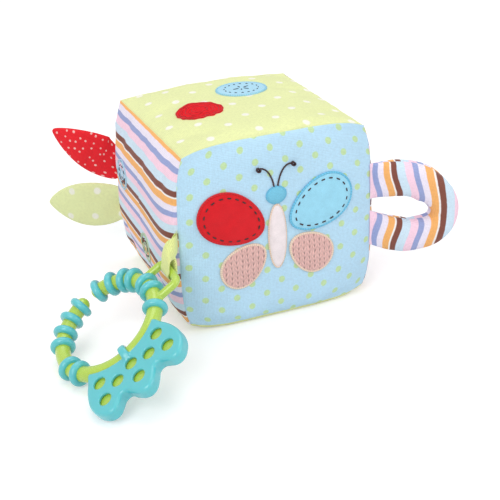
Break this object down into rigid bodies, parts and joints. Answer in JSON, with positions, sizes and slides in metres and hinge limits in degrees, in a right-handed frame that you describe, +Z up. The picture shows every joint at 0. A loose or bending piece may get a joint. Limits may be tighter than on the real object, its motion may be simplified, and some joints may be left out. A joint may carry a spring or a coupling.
{
  "type": "soft fabric block",
  "caption": "Soft stuffed fabric activity cube for a baby, with a U grab handle, crinkle leaf tags and a ring teether hung on a ribbon loop.",
  "frame": {"origin": "on the flat underside, below the block's centre", "axes": "+Z up, the panel with the applique butterfly faces -Y, the handle is in its right hand seam towards +X"},
  "size_m": [0.2553, 0.2203, 0.1167],
  "materials": {
    "blue_dotted_cotton": "printed cotton, pale blue with small lime dots",
    "green_dotted_cotton": "printed cotton, pale lime with white dots",
    "striped_cotton": "printed cotton with coloured stripes",
    "red_dotted_cotton": "printed cotton, red with tiny white dots",
    "red_felt": "felt with a running stitch",
    "blue_felt": "felt with a running stitch",
    "brown_knit": "knitted with a satin stitched edge",
    "pale_fleece": "short fleece",
    "red_thread": "dense machine embroidery",
    "pale_blue_thread": "machine embroidery with a satin edge",
    "lime_ribbon": "grosgrain ribbon",
    "green_plastic": "satin moulded plastic",
    "turquoise_rubber": "soft moulded skin",
    "polyester_fibre": "loose fibre filling",
    "crinkle_film": "thin crackling film",
    "clear_plastic": "thin moulded shell",
    "bead_plastic": "hard bead"
  },
  "bodies": {
    "block": {"front_panel": "blue_dotted_cotton", "back_panel": "blue_dotted_cotton", "left_panel": "striped_cotton", "right_panel": "striped_cotton", "top_panel": "green_dotted_cotton", "bottom_panel": "green_dotted_cotton", "filling_lower": "polyester_fibre", "filling_upper": "polyester_fibre", "rattle_shell_lower": "clear_plastic", "rattle_shell_upper": "clear_plastic", "rattle_bead_1": "bead_plastic", "rattle_bead_2": "bead_plastic", "rattle_bead_3": "bead_plastic", "red_wing": "red_felt", "blue_wing": "blue_felt", "knit_wing_left": "brown_knit", "knit_wing_right": "brown_knit", "fleece_body": "pale_fleece", "butterfly_head": "blue_felt", "red_patch": "red_thread", "blue_patch": "pale_blue_thread"},
    "handle": {"handle_cover": "striped_cotton", "handle_filling": "polyester_fibre"},
    "red_leaf": {"red_leaf_front": "red_dotted_cotton", "red_leaf_back": "red_dotted_cotton", "red_leaf_film": "crinkle_film"},
    "green_leaf": {"green_leaf_front": "green_dotted_cotton", "green_leaf_back": "green_dotted_cotton", "green_leaf_film": "crinkle_film"},
    "ribbon": {"ribbon_loop": "lime_ribbon"},
    "teether": {"teether_core": "green_plastic", "teether_grip": "turquoise_rubber", "teether_rib_01": "turquoise_rubber", "teether_rib_02": "turquoise_rubber", "teether_rib_03": "turquoise_rubber", "teether_rib_04": "turquoise_rubber", "teether_rib_05": "turquoise_rubber", "teether_rib_06": "turquoise_rubber", "teether_rib_07": "turquoise_rubber", "teether_rib_08": "turquoise_rubber", "teether_rib_09": "turquoise_rubber", "teether_rib_10": "turquoise_rubber", "teether_rib_11": "turquoise_rubber", "teether_rib_12": "turquoise_rubber", "teether_rib_13": "turquoise_rubber"}
  },
  "joints": [
    {"name": "handle_flex", "type": "hinge", "parent": "block", "child": "handle", "pos_m": [0.0612, -0.05645, 0.0582], "axis": [0, 0, 1], "range_deg": [-80, 15], "stiffness_Nm_per_rad": 0.03},
    {"name": "red_leaf_flex", "type": "hinge", "parent": "block", "child": "red_leaf", "pos_m": [-0.0612, 0.05645, 0.0682], "axis": [0, 0, 1], "range_deg": [-70, 40], "stiffness_Nm_per_rad": 0.004},
    {"name": "green_leaf_flex", "type": "hinge", "parent": "block", "child": "green_leaf", "pos_m": [-0.0612, 0.05645, 0.0387], "axis": [0, 0, 1], "range_deg": [-55, 50], "stiffness_Nm_per_rad": 0.004},
    {"name": "ribbon_swing", "type": "hinge", "parent": "block", "child": "ribbon", "pos_m": [-0.0612, -0.05645, 0.0615], "axis": [0, 0, 1], "range_deg": [-20, 75]},
    {"name": "teether_swing", "type": "hinge", "parent": "ribbon", "child": "teether", "pos_m": [-0.07, -0.0673, 0.04939], "axis": [-0.045, 0.9947, 0.0924], "range_deg": [-35, 75]}
  ]
}
